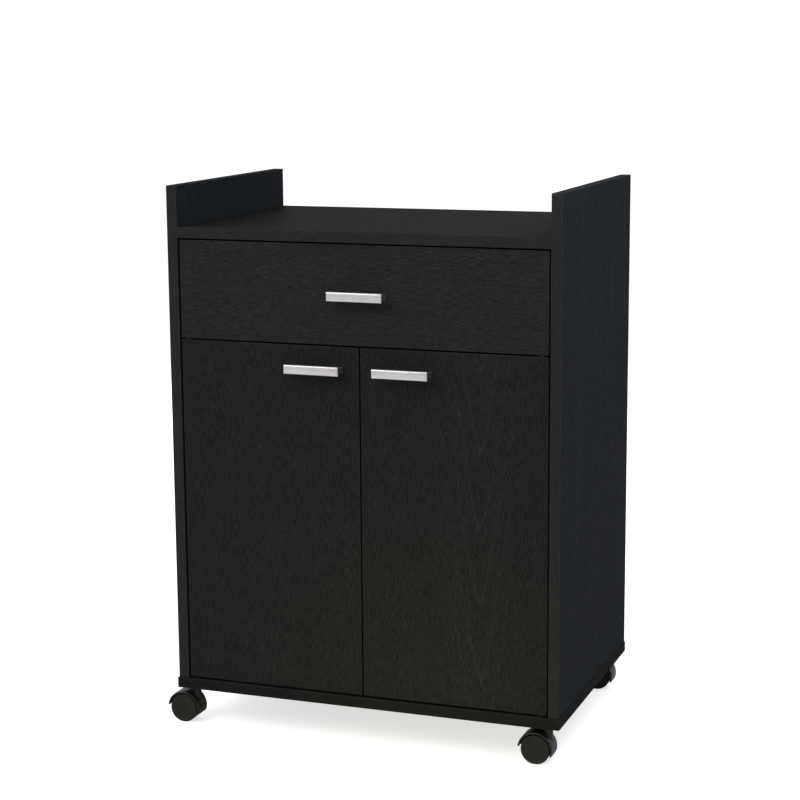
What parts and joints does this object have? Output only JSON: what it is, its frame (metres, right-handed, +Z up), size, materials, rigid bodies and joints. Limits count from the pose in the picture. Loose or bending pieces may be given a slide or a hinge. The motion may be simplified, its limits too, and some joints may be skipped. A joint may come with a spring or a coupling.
{
  "type": "microwave cart",
  "caption": "Rolling kitchen cart with an open top shelf between raised sides, a drawer, a two-door cupboard and hooded twin-wheel casters.",
  "frame": {"origin": "on the floor, under the centre of the cart's bounding box with its casters trailing to the left", "axes": "+Z up, +Y from the doors to the back, +X to the right as seen from the front"},
  "size_m": [0.6212, 0.4124, 0.8175],
  "materials": {
    "side_laminate": "black woodgrain laminate on particle board, satin",
    "front_laminate": "black woodgrain laminate on particle board, satin",
    "board_laminate": "black woodgrain laminate on particle board, satin",
    "back_board": "thin hardboard, black faced",
    "drawer_board": "dark faced particle board",
    "handle_metal": "brushed satin nickel on zinc casting",
    "zinc_steel": "zinc-plated steel",
    "cam_zinc": "cast zinc",
    "runner_steel": "black epoxy-coated steel",
    "hinge_steel": "black-coated steel",
    "axle_steel": "bright steel",
    "roller_nylon": "white nylon",
    "dowel_wood": "beech",
    "catch_plastic": "black moulded plastic",
    "hood_plastic": "black satin moulded nylon",
    "wheel_plastic": "black satin moulded nylon"
  },
  "bodies": {
    "carcass": {"base_board": "board_laminate", "left_side_panel": "side_laminate", "right_side_panel": "side_laminate", "top_shelf": "board_laminate", "divider_panel": "board_laminate", "back_panel": "back_board", "inner_shelf": "board_laminate", "shelf_pins": "zinc_steel", "dowels": "dowel_wood", "cam_bolts": "zinc_steel", "cam_locks": "cam_zinc", "base_screws": "zinc_steel", "left_cabinet_runner": "runner_steel", "right_cabinet_runner": "runner_steel", "hardware_screws": "zinc_steel", "hinge_plates": "hinge_steel", "magnetic_catch": "catch_plastic", "catch_magnets": "zinc_steel", "caster_stems": "zinc_steel", "insert_nuts": "zinc_steel"},
    "drawer": {"drawer_front": "front_laminate", "drawer_left_side": "drawer_board", "drawer_right_side": "drawer_board", "drawer_back": "drawer_board", "drawer_bottom": "drawer_board", "drawer_left_runner": "runner_steel", "drawer_right_runner": "runner_steel", "drawer_handle": "handle_metal", "drawer_handle_screws": "zinc_steel", "drawer_fixings": "zinc_steel"},
    "left_door": {"left_door": "front_laminate", "left_door_handle": "handle_metal", "left_door_bushes": "roller_nylon", "left_strike_plate": "zinc_steel", "left_door_screws": "zinc_steel"},
    "right_door": {"right_door": "front_laminate", "right_door_handle": "handle_metal", "right_door_bushes": "roller_nylon", "right_strike_plate": "zinc_steel", "right_door_screws": "zinc_steel"},
    "left_front_roller": {"left_front_roller": "roller_nylon"},
    "left_rear_roller": {"left_rear_roller": "roller_nylon"},
    "right_front_roller": {"right_front_roller": "roller_nylon"},
    "right_rear_roller": {"right_rear_roller": "roller_nylon"},
    "fl_caster": {"fl_caster_hood": "hood_plastic", "fl_caster_axle": "axle_steel"},
    "fl_front_wheel": {"fl_front_wheel": "wheel_plastic"},
    "fl_rear_wheel": {"fl_rear_wheel": "wheel_plastic"},
    "fr_caster": {"fr_caster_hood": "hood_plastic", "fr_caster_axle": "axle_steel"},
    "fr_front_wheel": {"fr_front_wheel": "wheel_plastic"},
    "fr_rear_wheel": {"fr_rear_wheel": "wheel_plastic"},
    "rl_caster": {"rl_caster_hood": "hood_plastic", "rl_caster_axle": "axle_steel"},
    "rl_front_wheel": {"rl_front_wheel": "wheel_plastic"},
    "rl_rear_wheel": {"rl_rear_wheel": "wheel_plastic"},
    "rr_caster": {"rr_caster_hood": "hood_plastic", "rr_caster_axle": "axle_steel"},
    "rr_front_wheel": {"rr_front_wheel": "wheel_plastic"},
    "rr_rear_wheel": {"rr_rear_wheel": "wheel_plastic"}
  },
  "joints": [
    {"name": "drawer_slide", "type": "slide", "parent": "carcass", "child": "drawer", "axis": [0, -1, 0], "range_m": [0, 0.27]},
    {"name": "left_door_hinge", "type": "hinge", "parent": "carcass", "child": "left_door", "pos_m": [-0.25944, -0.17775, 0.075], "axis": [0, 0, -1], "range_deg": [0, 105]},
    {"name": "right_door_hinge", "type": "hinge", "parent": "carcass", "child": "right_door", "pos_m": [0.28056, -0.17775, 0.075], "axis": [0, 0, 1], "range_deg": [0, 105]},
    {"name": "left_front_roller_spin", "type": "hinge", "parent": "carcass", "child": "left_front_roller", "pos_m": [-0.26684, -0.15225, 0.6295], "axis": [1, 0, 0], "range_deg": [0, 1290]},
    {"name": "left_rear_roller_spin", "type": "hinge", "parent": "drawer", "child": "left_rear_roller", "pos_m": [-0.26564, 0.16775, 0.6268], "axis": [1, 0, 0], "range_deg": [0, 1290]},
    {"name": "right_front_roller_spin", "type": "hinge", "parent": "carcass", "child": "right_front_roller", "pos_m": [0.28796, -0.15225, 0.6295], "axis": [1, 0, 0], "range_deg": [0, 1290]},
    {"name": "right_rear_roller_spin", "type": "hinge", "parent": "drawer", "child": "right_rear_roller", "pos_m": [0.28676, 0.16775, 0.6268], "axis": [1, 0, 0], "range_deg": [0, 1290]},
    {"name": "fl_swivel", "type": "hinge", "parent": "carcass", "child": "fl_caster", "pos_m": [-0.26794, -0.16725, 0.0535], "axis": [0, 0, 1], "continuous": true},
    {"name": "fl_front_wheel_spin", "type": "hinge", "parent": "fl_caster", "child": "fl_front_wheel", "pos_m": [-0.28394, -0.17775, 0.0215], "axis": [0, 1, 0], "continuous": true},
    {"name": "fl_rear_wheel_spin", "type": "hinge", "parent": "fl_caster", "child": "fl_rear_wheel", "pos_m": [-0.28394, -0.15675, 0.0215], "axis": [0, 1, 0], "continuous": true},
    {"name": "fr_swivel", "type": "hinge", "parent": "carcass", "child": "fr_caster", "pos_m": [0.28906, -0.16725, 0.0535], "axis": [0, 0, 1], "continuous": true},
    {"name": "fr_front_wheel_spin", "type": "hinge", "parent": "fr_caster", "child": "fr_front_wheel", "pos_m": [0.27306, -0.17775, 0.0215], "axis": [0, 1, 0], "continuous": true},
    {"name": "fr_rear_wheel_spin", "type": "hinge", "parent": "fr_caster", "child": "fr_rear_wheel", "pos_m": [0.27306, -0.15675, 0.0215], "axis": [0, 1, 0], "continuous": true},
    {"name": "rl_swivel", "type": "hinge", "parent": "carcass", "child": "rl_caster", "pos_m": [-0.26794, 0.18475, 0.0535], "axis": [0, 0, 1], "continuous": true},
    {"name": "rl_front_wheel_spin", "type": "hinge", "parent": "rl_caster", "child": "rl_front_wheel", "pos_m": [-0.28394, 0.17425, 0.0215], "axis": [0, 1, 0], "continuous": true},
    {"name": "rl_rear_wheel_spin", "type": "hinge", "parent": "rl_caster", "child": "rl_rear_wheel", "pos_m": [-0.28394, 0.19525, 0.0215], "axis": [0, 1, 0], "continuous": true},
    {"name": "rr_swivel", "type": "hinge", "parent": "carcass", "child": "rr_caster", "pos_m": [0.28906, 0.18475, 0.0535], "axis": [0, 0, 1], "continuous": true},
    {"name": "rr_front_wheel_spin", "type": "hinge", "parent": "rr_caster", "child": "rr_front_wheel", "pos_m": [0.27306, 0.17425, 0.0215], "axis": [0, 1, 0], "continuous": true},
    {"name": "rr_rear_wheel_spin", "type": "hinge", "parent": "rr_caster", "child": "rr_rear_wheel", "pos_m": [0.27306, 0.19525, 0.0215], "axis": [0, 1, 0], "continuous": true}
  ],
  "couplings": [
    {"joint": "left_front_roller_spin", "follows": "drawer_slide", "rad_per_m": 83.333},
    {"joint": "left_rear_roller_spin", "follows": "drawer_slide", "rad_per_m": 83.333},
    {"joint": "right_front_roller_spin", "follows": "drawer_slide", "rad_per_m": 83.333},
    {"joint": "right_rear_roller_spin", "follows": "drawer_slide", "rad_per_m": 83.333}
  ]
}
